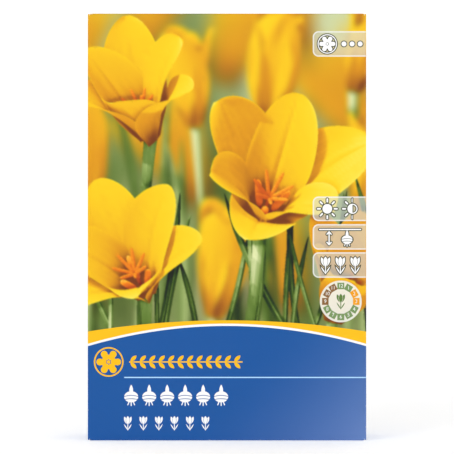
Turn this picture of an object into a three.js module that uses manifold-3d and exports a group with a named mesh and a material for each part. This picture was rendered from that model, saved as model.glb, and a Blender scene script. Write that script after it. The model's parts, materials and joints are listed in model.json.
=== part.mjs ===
// A folding carton of flower bulbs: one die-cut sheet of board, creased and glued into a slim
// upright box with ventilation holes, and the loose crocus corms that lie in a heap inside it.
// Units are millimetres, +Z is up and the printed front faces -Y. The origin is the centre of the base.

import * as THREE from "three";
import { mergeVertices } from "three/addons/utils/BufferGeometryUtils.js";
import Module from "manifold-3d";

const wasm = await Module();
wasm.setup();

// ---------------------------------------------------------------- driving dimensions

const WIDTH = 124;
const HEIGHT = 190;
const DEPTH = 28;
const BOARD = 0.6; // thickness of the folding board
const FOLD_RADIUS = 0.9; // outside of a crease
const FOLD_STEPS = 4; // flat facets round one crease
const GLUE_BITE = 0.05; // how far two glued layers sink into each other
const CREASE_INSET = 0.15; // the die-cut gap between a flap's side edge and the next crease
const CORNER_GAP = 0.3; // how far a vertical crease stops short of the carton's end

const OUTER_FLAP_SHORTFALL = 1.5; // from the outer flap's raw edge to the back
const INNER_FLAP_LENGTH = 18;
const DUST_FLAP_LENGTH = 20;
const GLUE_TAB_LENGTH = 12;
const GLUE_TAB_CLIP = 10; // how far the tab stays clear of the closed ends
const BACK_EDGE_INSET = 0.5; // the back panel's raw edge, in from the side

const VENT_SIDES = 18;
const SIDE_VENT = { radius: 4, count: 6, pitch: 27 };
const ROSETTE = { ventRadius: 3.6, ringRadius: 10.5, petals: 6, centres: [-37, 0, 37], height: 38 };

const CORM_ROWS = [5, 4, 3]; // corms in each layer of the heap, from the bottom
const CORM_DIAMETER = { smallest: 23, largest: 24.3 };
const CORM_GAP = 0.3; // between two corms that touch
const CORM_TILT = 9; // degrees, the most that a corm leans
const CORM_SIDES = 18;
const CORM_SEED = 12;

// ---------------------------------------------------------------- colours

const board = new THREE.MeshStandardMaterial({ color: 0xe9b71f, roughness: 0.45, metalness: 0 });
const tunic = new THREE.MeshStandardMaterial({ color: 0x8a5a33, roughness: 0.85, metalness: 0 });

// ---------------------------------------------------------------- solids

// The closed geometry as a solid that can be joined and cut.
function solid(geometry) {
  const bare = geometry.clone();
  bare.deleteAttribute("normal");
  bare.deleteAttribute("uv");
  const merged = mergeVertices(bare, 1e-4);
  return new wasm.Manifold(
    new wasm.Mesh({
      numProp: 3,
      vertProperties: new Float32Array(merged.attributes.position.array),
      triVerts: new Uint32Array(merged.index.array),
    }),
  );
}

// The solid as a geometry for a mesh.
function geometryOf(body) {
  const mesh = body.getMesh();
  const geometry = new THREE.BufferGeometry();
  geometry.setAttribute("position", new THREE.BufferAttribute(mesh.vertProperties, 3));
  geometry.setIndex(new THREE.BufferAttribute(mesh.triVerts, 1));
  geometry.computeVertexNormals();
  return geometry;
}

function join(bodies) {
  return bodies.reduce((whole, body) => whole.add(body));
}

// A box between two corners.
function block(low, high) {
  const size = high.map((v, i) => v - low[i]);
  const centre = high.map((v, i) => (v + low[i]) / 2);
  return solid(new THREE.BoxGeometry(...size).translate(...centre));
}

// ---------------------------------------------------------------- folded board

// One side of a strip that turns left by a right angle at each corner, as points. inset is how far
// that side lies in from the strip's outer face.
function creasedLine(corners, inset) {
  const points = [];
  const first = corners[1].clone().sub(corners[0]).normalize();
  const left = (d) => new THREE.Vector2(-d.y, d.x);
  points.push(corners[0].clone().addScaledVector(left(first), inset));
  for (let i = 1; i < corners.length - 1; i++) {
    const before = corners[i].clone().sub(corners[i - 1]).normalize();
    const after = corners[i + 1].clone().sub(corners[i]).normalize();
    const centre = corners[i]
      .clone()
      .addScaledVector(before, -FOLD_RADIUS)
      .addScaledVector(after, FOLD_RADIUS);
    for (let step = 0; step <= FOLD_STEPS; step++) {
      const turn = (step / FOLD_STEPS) * (Math.PI / 2);
      const reach = FOLD_RADIUS - inset;
      points.push(
        centre
          .clone()
          .addScaledVector(after, -reach * Math.cos(turn))
          .addScaledVector(before, reach * Math.sin(turn)),
      );
    }
  }
  const last = corners[corners.length - 1];
  const ahead = last.clone().sub(corners[corners.length - 2]).normalize();
  points.push(last.clone().addScaledVector(left(ahead), inset));
  return points;
}

// The cross-section of board that is creased at each inner corner of its outer line. The line runs
// anticlockwise, so the inside of the carton is on its left.
function foldedSection(outerLine) {
  const corners = outerLine.map(([a, b]) => new THREE.Vector2(a, b));
  return new THREE.Shape([
    ...creasedLine(corners, 0),
    ...creasedLine(corners, BOARD).reverse(),
  ]);
}

function extruded(section, from, to) {
  const geometry = new THREE.ExtrudeGeometry(section, { depth: to - from, bevelEnabled: false });
  return geometry.translate(0, 0, from);
}

// Folded board whose section lies in the XY plane, upright between two heights.
function uprightBoard(outerLine, low, high) {
  return solid(extruded(foldedSection(outerLine), low, high));
}

// The same with a section in the YZ plane, centred on X.
function boardAcrossX(outerLine, width) {
  const toYZ = new THREE.Matrix4().makeBasis(
    new THREE.Vector3(0, 1, 0),
    new THREE.Vector3(0, 0, 1),
    new THREE.Vector3(1, 0, 0),
  );
  return solid(extruded(foldedSection(outerLine), -width / 2, width / 2).applyMatrix4(toYZ));
}

// The same with a section in the XZ plane, centred on Y.
function boardAcrossY(outerLine, width) {
  const toXZ = new THREE.Matrix4().makeBasis(
    new THREE.Vector3(1, 0, 0),
    new THREE.Vector3(0, 0, 1),
    new THREE.Vector3(0, -1, 0),
  );
  return solid(extruded(foldedSection(outerLine), -width / 2, width / 2).applyMatrix4(toXZ));
}

// A round vent: a rod that is pushed through one panel along X or Y.
function ventAlongY(x, z, radius) {
  const rod = new THREE.CylinderGeometry(radius, radius, 4, VENT_SIDES);
  return solid(rod.translate(x, DEPTH / 2, z));
}

function ventAlongX(x, z, radius) {
  const rod = new THREE.CylinderGeometry(radius, radius, 4, VENT_SIDES);
  return solid(rod.rotateZ(Math.PI / 2).translate(x, 0, z));
}

// ---------------------------------------------------------------- the carton

// The four upright panels and the glue tab, as one strip with upright creases.
function wall() {
  const x = WIDTH / 2;
  const y = DEPTH / 2;
  const seam = -x + GLUE_TAB_LENGTH;
  const tabFace = y - BOARD + GLUE_BITE;
  const round = uprightBoard(
    [[seam, tabFace], [-x, tabFace], [-x, -y], [x, -y], [x, y], [seam, y]],
    CORNER_GAP,
    HEIGHT - CORNER_GAP,
  );
  const backEdge = block(
    [-x + BACK_EDGE_INSET, y - BOARD, CORNER_GAP],
    [seam + 1, y, HEIGHT - CORNER_GAP],
  );
  return round.add(backEdge);
}

// What the die cuts away from the wall at the top, where the flaps fold in. The outer flap lies
// on the inner one, and that on the dust flaps, so each panel ends one board lower than the last.
function endCuts() {
  const x = WIDTH / 2;
  const y = DEPTH / 2;
  const past = 1;
  const reach = 3;
  const sideEnd = HEIGHT - 2 * BOARD - FOLD_RADIUS;
  const backEnd = HEIGHT - BOARD - FOLD_RADIUS;
  const rearCornerEnd = HEIGHT - BOARD - CORNER_GAP;
  const tabEnd = HEIGHT - GLUE_TAB_CLIP;
  const top = HEIGHT + past;
  const besideFront = -y + FOLD_RADIUS;
  const besideBack = y - FOLD_RADIUS;
  return [
    block([-x - past, besideFront, sideEnd], [-x + reach, besideBack, top]),
    block([x - reach, besideFront, sideEnd], [x + past, besideBack, top]),
    block([-x + FOLD_RADIUS, y - BOARD, backEnd], [x - FOLD_RADIUS, y + past, top]),
    block([-x - past, besideBack, rearCornerEnd], [x + past, y + past, top]),
    block([-x + 2 * BOARD, y - 2 * BOARD - past, tabEnd], [x, y - BOARD, top]),
  ];
}

function mirroredInHeight(body) {
  return body.mirror([0, 0, 1]).translate([0, 0, HEIGHT]);
}

// Front panel with the outer flap at each end.
function frontWithFlaps() {
  const y = DEPTH / 2;
  const edge = y - OUTER_FLAP_SHORTFALL;
  return boardAcrossX(
    [[edge, HEIGHT], [-y, HEIGHT], [-y, 0], [edge, 0]],
    WIDTH - 2 * (FOLD_RADIUS + CREASE_INSET),
  );
}

// Back panel with the inner flap at each end, glued under the outer one.
function backWithFlaps() {
  const y = DEPTH / 2;
  const edge = y - INNER_FLAP_LENGTH;
  const low = BOARD - GLUE_BITE;
  const high = HEIGHT - low;
  return boardAcrossX(
    [[edge, low], [y, low], [y, high], [edge, high]],
    WIDTH - 2 * (FOLD_RADIUS + CREASE_INSET),
  );
}

// Right side panel with the dust flap at each end. The left one is its mirror image.
function sideWithFlaps() {
  const x = WIDTH / 2;
  const edge = x - DUST_FLAP_LENGTH;
  const low = 2 * (BOARD - GLUE_BITE);
  const high = HEIGHT - low;
  return boardAcrossY(
    [[edge, low], [x, low], [x, high], [edge, high]],
    DEPTH - 2 * (FOLD_RADIUS + CREASE_INSET),
  );
}

function vents() {
  const rods = [];
  for (let i = 0; i < SIDE_VENT.count; i++) {
    const z = HEIGHT / 2 + (i - (SIDE_VENT.count - 1) / 2) * SIDE_VENT.pitch;
    rods.push(ventAlongX(WIDTH / 2, z, SIDE_VENT.radius));
    rods.push(ventAlongX(-WIDTH / 2, z, SIDE_VENT.radius));
  }
  for (const x of ROSETTE.centres) {
    rods.push(ventAlongY(x, ROSETTE.height, ROSETTE.ventRadius));
    for (let i = 0; i < ROSETTE.petals; i++) {
      const angle = (i / ROSETTE.petals) * 2 * Math.PI + Math.PI / 2;
      const dx = ROSETTE.ringRadius * Math.cos(angle);
      const dz = ROSETTE.ringRadius * Math.sin(angle);
      rods.push(ventAlongY(x + dx, ROSETTE.height + dz, ROSETTE.ventRadius));
    }
  }
  return rods;
}

function carton() {
  const cuts = endCuts();
  const upright = join([...cuts, ...cuts.map(mirroredInHeight)]);
  const side = sideWithFlaps();
  const sheet = join([
    wall().subtract(upright),
    frontWithFlaps(),
    backWithFlaps(),
    side,
    side.mirror([1, 0, 0]),
  ]);
  const mesh = new THREE.Mesh(geometryOf(sheet.subtract(join(vents()))), board);
  mesh.name = "carton";
  return mesh;
}

// ---------------------------------------------------------------- the corms

// A seeded source of numbers from 0 to 1.
function randomSource(seed) {
  let state = seed;
  return () => {
    state = (state + 0x6d2b79f5) | 0;
    let t = Math.imul(state ^ (state >>> 15), 1 | state);
    t = (t + Math.imul(t ^ (t >>> 7), 61 | t)) ^ t;
    return ((t ^ (t >>> 14)) >>> 0) / 4294967296;
  };
}

// Half the outline of a corm of the given radius, from the hollow of its basal plate up to the tip
// of its shoot. Its widest ring is at height 0.
function cormProfile(radius) {
  const points = [
    [0, -0.5],
    [0.2, -0.53],
    [0.36, -0.62],
    [0.6, -0.56],
    [0.85, -0.34],
    [0.97, -0.14],
    [1, 0],
    [0.96, 0.18],
    [0.82, 0.38],
    [0.6, 0.53],
    [0.34, 0.63],
    [0.2, 0.72],
    [0.12, 0.88],
    [0, 1.02],
  ];
  return points.map(([r, h]) => new THREE.Vector2(r * radius, h * radius));
}

// The corm is a little out of round, only ever inwards, so that its neighbours stay clear.
function cormGeometry(radius, random) {
  const geometry = new THREE.LatheGeometry(cormProfile(radius), CORM_SIDES);
  const lobes = 2 + Math.floor(random() * 2);
  const phase = random() * 2 * Math.PI;
  const dent = 0.012;
  const position = geometry.attributes.position;
  for (let i = 0; i < position.count; i++) {
    const angle = Math.atan2(position.getZ(i), position.getX(i));
    const shrink = 1 - dent * (1 + Math.cos(lobes * angle + phase)) * 0.5;
    position.setX(i, position.getX(i) * shrink);
    position.setZ(i, position.getZ(i) * shrink);
  }
  return geometryOf(solid(geometry));
}

// The heap seen from the front: circles that rest on the floor or each on two below it, with the
// largest corms lowest, so that neighbours in a layer stay clear of each other.
function heap(random) {
  const total = CORM_ROWS.reduce((sum, count) => sum + count);
  const radii = Array.from(
    { length: total },
    () => THREE.MathUtils.lerp(CORM_DIAMETER.smallest, CORM_DIAMETER.largest, random()) / 2,
  ).sort((a, b) => b - a);
  const inside = WIDTH - 2 * BOARD;
  const bottomCount = CORM_ROWS[0];
  const used = radii.slice(0, bottomCount).reduce((sum, r) => sum + 2 * r, 0);
  const spare = (inside - used) / (bottomCount + 1);
  let left = -inside / 2 + spare;
  let row = radii.splice(0, bottomCount).map((r) => {
    const x = left + r;
    left += 2 * r + spare;
    return { x, z: floorUnder(x) + CORM_GAP + r, r };
  });
  const placed = [...row];
  for (const count of CORM_ROWS.slice(1)) {
    row = radii.splice(0, count).map((r, i) => restOn(row[i], row[i + 1], r));
    placed.push(...row);
  }
  return placed;
}

// The inner flap lies under the middle of the heap, and the dust flaps on it under its ends.
function floorUnder(x) {
  const edgeClearance = 4.5;
  const onDustFlap = Math.abs(x) > WIDTH / 2 - DUST_FLAP_LENGTH - edgeClearance;
  return BOARD + (onDustFlap ? 2 : 1) * (BOARD - GLUE_BITE);
}

// The circle of radius r that rests on circles a and b, with a on its left.
function restOn(a, b, r) {
  const toA = a.r + r + CORM_GAP;
  const toB = b.r + r + CORM_GAP;
  const apart = Math.hypot(b.x - a.x, b.z - a.z);
  const along = (toA ** 2 - toB ** 2 + apart ** 2) / (2 * apart);
  const up = Math.sqrt(toA ** 2 - along ** 2);
  const ux = (b.x - a.x) / apart;
  const uz = (b.z - a.z) / apart;
  return { x: a.x + along * ux - up * uz, z: a.z + along * uz + up * ux, r };
}

function corms() {
  const random = randomSource(CORM_SEED);
  return heap(random).map(({ x, z, r }, i) => {
    const mesh = new THREE.Mesh(cormGeometry(r, random), tunic);
    const lean = THREE.MathUtils.degToRad(CORM_TILT) * random();
    const leanTowards = random() * 2 * Math.PI;
    const facesBack = random() < 0.6;
    mesh.rotation.set(
      (facesBack ? 0 : Math.PI) + lean * Math.cos(leanTowards),
      random() * 2 * Math.PI,
      lean * Math.sin(leanTowards),
      "ZXY",
    );
    mesh.position.set(x, 0, z);
    mesh.name = `corm_${String(i + 1).padStart(2, "0")}`;
    return mesh;
  });
}

// ---------------------------------------------------------------- the whole object

const packet = new THREE.Group();
packet.name = "flower_bulb_carton";
packet.add(carton(), ...corms());

export default packet;
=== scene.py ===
import json
import math
from functools import reduce

import bmesh
import bpy
import numpy as np
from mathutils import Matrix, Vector
from mathutils.geometry import delaunay_2d_cdt
from mathutils.kdtree import KDTree

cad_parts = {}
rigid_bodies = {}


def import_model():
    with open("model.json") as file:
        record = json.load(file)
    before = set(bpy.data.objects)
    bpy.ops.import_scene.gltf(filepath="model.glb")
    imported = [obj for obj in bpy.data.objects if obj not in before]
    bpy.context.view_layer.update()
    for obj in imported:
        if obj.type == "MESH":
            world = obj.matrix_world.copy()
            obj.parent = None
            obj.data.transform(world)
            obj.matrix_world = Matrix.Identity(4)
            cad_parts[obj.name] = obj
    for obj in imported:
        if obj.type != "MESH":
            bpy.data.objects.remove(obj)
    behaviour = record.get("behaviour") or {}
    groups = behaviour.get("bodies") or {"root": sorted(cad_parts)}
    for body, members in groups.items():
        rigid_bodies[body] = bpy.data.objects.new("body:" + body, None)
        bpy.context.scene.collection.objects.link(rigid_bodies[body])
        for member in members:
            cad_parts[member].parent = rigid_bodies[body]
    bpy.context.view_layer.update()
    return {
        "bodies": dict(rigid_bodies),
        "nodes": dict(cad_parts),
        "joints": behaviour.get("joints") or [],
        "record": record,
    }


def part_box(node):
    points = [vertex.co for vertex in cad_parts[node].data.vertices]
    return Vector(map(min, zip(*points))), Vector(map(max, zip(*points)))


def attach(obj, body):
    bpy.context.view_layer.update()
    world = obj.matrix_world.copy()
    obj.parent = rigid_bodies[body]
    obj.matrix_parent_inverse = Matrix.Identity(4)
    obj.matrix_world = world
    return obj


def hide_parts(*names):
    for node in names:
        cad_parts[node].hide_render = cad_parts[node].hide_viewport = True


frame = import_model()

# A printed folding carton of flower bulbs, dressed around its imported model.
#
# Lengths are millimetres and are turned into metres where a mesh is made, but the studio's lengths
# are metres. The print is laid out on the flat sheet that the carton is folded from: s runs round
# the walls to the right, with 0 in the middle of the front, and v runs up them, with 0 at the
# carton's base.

MM = 0.001
QUARTER_TURN = math.pi / 2


# ---------------------------------- sizes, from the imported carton

low, high = (np.array(corner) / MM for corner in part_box("carton"))
HALF_WIDTH = (high[0] - low[0]) / 2
HALF_DEPTH = (high[1] - low[1]) / 2
HEIGHT = high[2] - low[2]
MID_HEIGHT = HEIGHT / 2

BOARD = 0.6  # thickness of the folding board
FOLD_RADIUS = 0.9  # outside of a crease
FOLD_STEPS = 6
GLUE = 0.03  # between two glued layers
LAYER = BOARD + GLUE
CREASE_INSET = 0.15  # the die-cut gap between a flap's side edge and the next crease
CREASE_SPACING = 1.1  # between the points along a crease or an edge
CORNER_GAP = 0.3  # how far a front corner's crease stops short of the carton's end
REAR_CORNER_GAP = 0.9
OUTER_FLAP_SHORTFALL = 1.5
INNER_FLAP_LENGTH = 18
DUST_FLAP_LENGTH = 20
FLAP_CHAMFER = 1.6
GLUE_TAB_LENGTH = 12
GLUE_TAB_CLIP = 10
BACK_EDGE_INSET = 0.5
PANEL_BOW = 0.32  # how far the wide panels sink in at their middle

VENT_SIDES = 40
SIDE_VENT_RADIUS = 4
SIDE_VENT_COUNT, SIDE_VENT_PITCH = 6, 27
SIDE_VENT_HEIGHTS = [
    MID_HEIGHT + (i - (SIDE_VENT_COUNT - 1) / 2) * SIDE_VENT_PITCH for i in range(SIDE_VENT_COUNT)
]
ROSETTE_VENT_RADIUS = 3.6
ROSETTE_RING_RADIUS = 10.5
ROSETTE_CENTRES = [-37, 0, 37]
ROSETTE_HEIGHT = 38

# places on the flat sheet
FOLD_LENGTH = FOLD_RADIUS * QUARTER_TURN
FRONT_EDGE = HALF_WIDTH - FOLD_RADIUS
SIDE_START = FRONT_EDGE + FOLD_LENGTH
SIDE_WIDTH = 2 * (HALF_DEPTH - FOLD_RADIUS)
SIDE_END = SIDE_START + SIDE_WIDTH
SIDE_MIDDLE = SIDE_START + SIDE_WIDTH / 2
BACK_START = SIDE_END + FOLD_LENGTH
BACK_MIDDLE = BACK_START + FRONT_EDGE
BACK_END = BACK_MIDDLE + HALF_WIDTH - BACK_EDGE_INSET
LEFT_END = LAYER - SIDE_END
TAB_START = LEFT_END - FOLD_LENGTH
TAB_END = TAB_START - (GLUE_TAB_LENGTH - FOLD_RADIUS)


# ---------------------------------- colours

VEIL = 0.012  # what the varnish's gloss adds to every colour in the studio's light


def light_of(value):
    """A colour on a 0 to 1 scale for screens, turned into amounts of light."""
    return np.where(value > 0.04045, ((value + 0.055) / 1.055) ** 2.4, value / 12.92)


def under_varnish(light):
    """The light of a colour without the varnish's gloss, down to a quarter of it in dark colours."""
    return np.maximum(light - VEIL, light * 0.25)


def linear(red, green, blue):
    """A colour as seen, on a 0 to 255 scale, as amounts of light without the varnish's own gloss.

    A last 1 makes it opaque.
    """
    return *under_varnish(light_of(np.array([red, green, blue]) / 255)), 1


# ---------------------------------- objects, meshes and materials


def put_in_scene(name, data):
    thing = bpy.data.objects.new(name, data)
    bpy.context.collection.objects.link(thing)
    return thing


def new_mesh(name, points, faces, *materials):
    mesh = bpy.data.meshes.new(name)
    mesh.from_pydata(points, [], faces)
    for material in materials:
        mesh.materials.append(material)
    return mesh


def add_layer(mesh, name, kind, field, values):
    """Values for the mesh's points, which a material reads by their name."""
    layer = mesh.attributes.new(name, kind, "POINT")
    layer.data.foreach_set(field, values.astype(np.float32).ravel())


def ring_faces(rings, count):
    """Quads between neighbouring rings of points, with count points in each."""
    corners = (0, 0), (1, 0), (1, 1), (0, 1)
    return [
        tuple((i + up) * count + (j + along) % count for up, along in corners)
        for i in range(rings - 1)
        for j in range(count)
    ]


def dress(name, mesh, node):
    """A piece fixed to the carton's body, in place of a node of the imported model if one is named."""
    piece = put_in_scene(name, mesh)
    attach(piece, "root")
    if node:
        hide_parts(node)


def feed(node, inputs):
    """Gives each named input of a node a fixed value, or a link if it is a socket or holds one."""
    for name, value in inputs.items():
        value = getattr(value, "socket", value)
        if isinstance(value, bpy.types.NodeSocket):
            node.id_data.links.new(value, node.inputs[name])
        else:
            node.inputs[name].default_value = value


def add_node(tree, kind, inputs=None, **settings):
    """A shader node of a kind, with its settings, and then its inputs as feed takes them."""
    node = tree.nodes.new("ShaderNode" + kind)
    for name, value in settings.items():
        setattr(node, name, value)
    feed(node, inputs or {})
    return node


def new_material(name, roughness, gloss):
    """A material and its shader."""
    material = bpy.data.materials.new(name)
    material.use_nodes = True
    shader = material.node_tree.nodes["Principled BSDF"]
    feed(shader, {"Roughness": roughness, "Specular IOR Level": gloss})
    return material, shader


# ---------------------------------- camera, floor and light

PHOTO_SCALE = 0.4446  # mm of the front panel in one pixel of the photograph
PHOTO_SIZE = 454


def set_camera():
    """A long lens, level with the middle of the packet and square to its front."""
    data = bpy.data.cameras.new("camera")
    data.lens, data.sensor_width, data.clip_start = 135, 36, 0.01
    distance = data.lens / data.sensor_width * PHOTO_SIZE * PHOTO_SCALE
    camera = put_in_scene("camera", data)
    camera.location = (0, -(HALF_DEPTH + distance) * MM, MID_HEIGHT * MM)
    camera.rotation_euler = (QUARTER_TURN, 0, 0)
    bpy.context.scene.camera = camera


def set_stage():
    """A white floor that curves up into a wall all round, behind the camera too."""
    core, floor_end, bend, wall_height, sides, steps = 0.5, 2.6, 0.9, 3.0, 96, 17
    turn = np.linspace(0, QUARTER_TURN, steps)
    radius = [core, *(floor_end + bend * np.sin(turn)), floor_end + bend]
    height = [0, *(bend * (1 - np.cos(turn))), wall_height]
    angles = np.linspace(0, 2 * math.pi, sides, endpoint=False)
    points = [(r * math.cos(a), r * math.sin(a), h) for r, h in zip(radius, height) for a in angles]
    white, shader = new_material("studio_white", 0.9, 0.1)
    feed(shader, {"Base Color": (0.9, 0.9, 0.9, 1)})
    feed(shader, {"Emission Color": (1, 1, 1, 1), "Emission Strength": 0.37})
    faces = [tuple(range(sides))] + ring_faces(len(radius), sides)
    mesh = new_mesh("studio_floor", points, faces, white)
    mesh.shade_smooth()
    put_in_scene("studio_floor", mesh)


def add_lamp(name, place, size, watts):
    """A round lamp aimed near the middle of the carton."""
    data = bpy.data.lights.new(name, "AREA")
    data.shape, data.size, data.energy = "DISK", size, watts
    lamp = put_in_scene(name, data)
    lamp.location = place
    aim = Vector((0, 0, 0.1)) - lamp.location
    lamp.rotation_euler = aim.to_track_quat("-Z", "Y").to_euler()


def set_light():
    """Soft light from every side, with two large lamps in front that stand clear of the mirror angle."""
    world = bpy.data.worlds.new("studio_air")
    world.use_nodes = True
    feed(world.node_tree.nodes["Background"], {"Color": (1, 1, 1, 1), "Strength": 0.38})
    bpy.context.scene.world = world
    add_lamp("key_lamp", (-0.9, -1.0, 1.1), 0.7, 4.2)
    add_lamp("fill_lamp", (1.1, -0.9, 0.7), 0.9, 1.6)
    bpy.context.scene.view_settings.view_transform = "Standard"


set_camera()
set_stage()
set_light()


# ---------------------------------- the picture: painting surfaces

# The picture on the front is painted here: petals and leaves are surfaces in a space with x to the
# right, y away from the viewer and z up, in millimetres of the flat sheet. They are lit, drawn
# nearest last into a raster, and the raster's colours go to the points of the carton's mesh.

CELL = 0.15  # one cell of the raster
POINTS_PER_CELL = 1.8  # of a sharp surface, so that no cell of it stays empty
PICTURE_LEFT, PICTURE_RIGHT = -91.0, 91.0
PICTURE_FOOT, PICTURE_TOP = 36.0, 218.0
COLUMNS = round((PICTURE_RIGHT - PICTURE_LEFT) / CELL)
ROWS = round((PICTURE_TOP - PICTURE_FOOT) / CELL)
BAND_FOOT = 41.0  # the blue band hides the picture below this height

# Each palette is a ramp of colours from deep shade to full light.
YELLOW = [
    (0.00, (0.46, 0.23, 0.01)),
    (0.20, (0.71, 0.43, 0.04)),
    (0.38, (0.86, 0.58, 0.06)),
    (0.55, (0.93, 0.70, 0.08)),
    (0.74, (0.965, 0.785, 0.10)),
    (0.92, (0.972, 0.835, 0.17)),
    (1.10, (0.985, 0.91, 0.40)),
]
GREEN = [
    (0.00, (0.05, 0.09, 0.02)),
    (0.25, (0.16, 0.24, 0.06)),
    (0.50, (0.34, 0.45, 0.17)),
    (0.75, (0.56, 0.65, 0.36)),
    (1.00, (0.88, 0.90, 0.68)),
]
ORANGE = [
    (0.00, (0.45, 0.14, 0.01)),
    (0.40, (0.80, 0.34, 0.02)),
    (0.75, (0.97, 0.56, 0.06)),
    (1.00, (1.00, 0.82, 0.36)),
]
PALETTES = [YELLOW, GREEN, ORANGE]
PETAL, LEAF, STAMEN = range(3)

LIGHT = (-0.5, -0.62, 0.62)  # the way to the light
LAMPS = [(0, 0), (0.16, 0.05), (-0.12, 0.1), (0.02, -0.17), (-0.1, -0.1)]  # shifts across and up
SHADOW_CELL = 0.35
PICTURE_SEED = 11
HAZY_SPOTS = 34


def unit(vector):
    vector = np.asarray(vector, np.float32)
    return vector / np.linalg.norm(vector, axis=-1, keepdims=True)


def axes_along(direction, roll=0.0):
    """Three axes as rows, the last along the direction, turned round it by roll."""
    up = unit(direction)
    side = unit(np.cross(up, (0.13, 0.2, 1.0)))
    front = np.cross(side, up)
    c, s = math.cos(roll), math.sin(roll)
    return np.array([c * side + s * front, c * front - s * side, up])


class Layer:
    """Surfaces at about one distance, which are lit together and blurred alike."""

    def __init__(self, detail=1.0):
        self.detail = detail  # the share of a sharp layer's points that this one needs
        self.parts = []

    def steps(self, length):
        return max(6, int(length / CELL * POINTS_PER_CELL * self.detail))

    def add(self, grid, tone, palette):
        """A surface given as a net of points, with its own tone added to the light on it."""
        normal = np.cross(np.gradient(grid, axis=0), np.gradient(grid, axis=1))
        normal /= np.maximum(np.linalg.norm(normal, axis=-1, keepdims=True), 1e-9)
        normal *= np.where(normal[..., 1:2] > 0, -1.0, 1.0)
        tone = np.broadcast_to(tone, grid.shape[:2]).ravel()
        part = (grid.reshape(-1, 3), normal.reshape(-1, 3), tone, np.full(tone.size, palette))
        self.parts.append([values.astype(np.float32) for values in part])

    def image(self, blur):
        """Colour times cover, and cover, in each cell."""
        place, normal, tone, kind = (np.concatenate(k) for k in zip(*self.parts))
        column, row = ((place[:, ::2] - (PICTURE_LEFT, PICTURE_FOOT)) // CELL).astype(int).T
        inside = (column >= 0) & (column < COLUMNS) & (row >= 0) & (row < ROWS)
        place, normal, tone, kind = (k[inside] for k in (place, normal, tone, kind))
        where = (row * COLUMNS + column)[inside]
        order = np.argsort(-place[:, 1], kind="stable")

        def nearest(values, empty):
            """What the point nearest to the viewer holds, in each cell."""
            cells = np.full(ROWS * COLUMNS, empty, values.dtype)
            cells[where[order]] = values[order]
            return cells.reshape(ROWS, COLUMNS)

        depth, shown = nearest(place[:, 1], 1e3), nearest(kind, -1)
        light = nearest(tone + lit(place, normal), 0) - hollow_shade(depth, shown >= 0)
        image = np.zeros((ROWS, COLUMNS, 4), np.float32)
        for i, palette in enumerate(PALETTES):
            here = shown == i
            stops, colours = zip(*palette)
            for channel, levels in enumerate(zip(*colours)):
                image[here, channel] = np.interp(light[here], stops, levels)
        image[shown >= 0, 3] = 1
        return blurred(image, blur)


def lit(place, normal):
    """The light that leaves each point towards the viewer, some of it through the petal."""
    light = unit(LIGHT)
    facing = normal @ light
    shine = np.clip(normal @ unit(light + (0, -1, 0)), 0, 1) ** 24
    direct = 0.56 * np.clip((facing + 0.25) / 1.25, 0, 1) + 0.36 * np.maximum(-facing, 0)
    return 0.36 + shadowed(place) * (direct + 0.10 * shine)


def shadowed(place):
    """The share of a few lamps, close together, that each point sees."""
    seen = np.zeros(len(place), np.float32)
    for across, upward in LAMPS:
        a, b, aim = axes_along(np.add(LIGHT, (across, 0, upward))).astype(np.float32)
        near = place @ aim
        column, row = (place @ axis / SHADOW_CELL for axis in (a, b))
        column, row = ((k - k.min()).astype(np.int32) for k in (column, row))
        where = row * (column.max() + 1) + column
        order = np.argsort(near, kind="stable")
        closest = np.zeros(where.max() + 1, np.float32)
        closest[where[order]] = near[order]
        seen += 1 - np.clip((closest[where] - near - 0.9) / 1.2, 0, 1)
    return seen / len(LAMPS)


def hollow_shade(depth, covered):
    """Darkening where what surrounds a cell lies nearer to the viewer."""
    total = np.zeros_like(depth)
    for reach_mm, strength in ((1.3, 0.05), (4.5, 0.03)):
        weight = blurred(covered.astype(np.float32), reach_mm)
        mean = blurred(np.where(covered, depth, 0), reach_mm) / np.maximum(weight, 1e-3)
        total += strength * np.clip(np.where(covered, depth - mean, 0) / reach_mm, -0.5, 4)
    return total


def blurred(image, reach_mm):
    """The image after three passes of a box as wide as the blur's reach."""
    half = round(reach_mm / CELL)
    if half < 1:
        return image
    for _ in range(3):
        for _ in range(2):
            pad = [(half + 1, half)] + [(0, 0)] * (image.ndim - 1)
            total = np.cumsum(np.pad(image, pad, mode="edge"), axis=0, dtype=np.float64)
            image = ((total[2 * half + 1:] - total[:-2 * half - 1]) / (2 * half + 1)).astype(np.float32)
            image = image.swapaxes(0, 1)
    return image


# ---------------------------------- the picture: flowers and leaves


def bell(distance, width):
    return np.exp(-((distance / width) ** 2))


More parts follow.
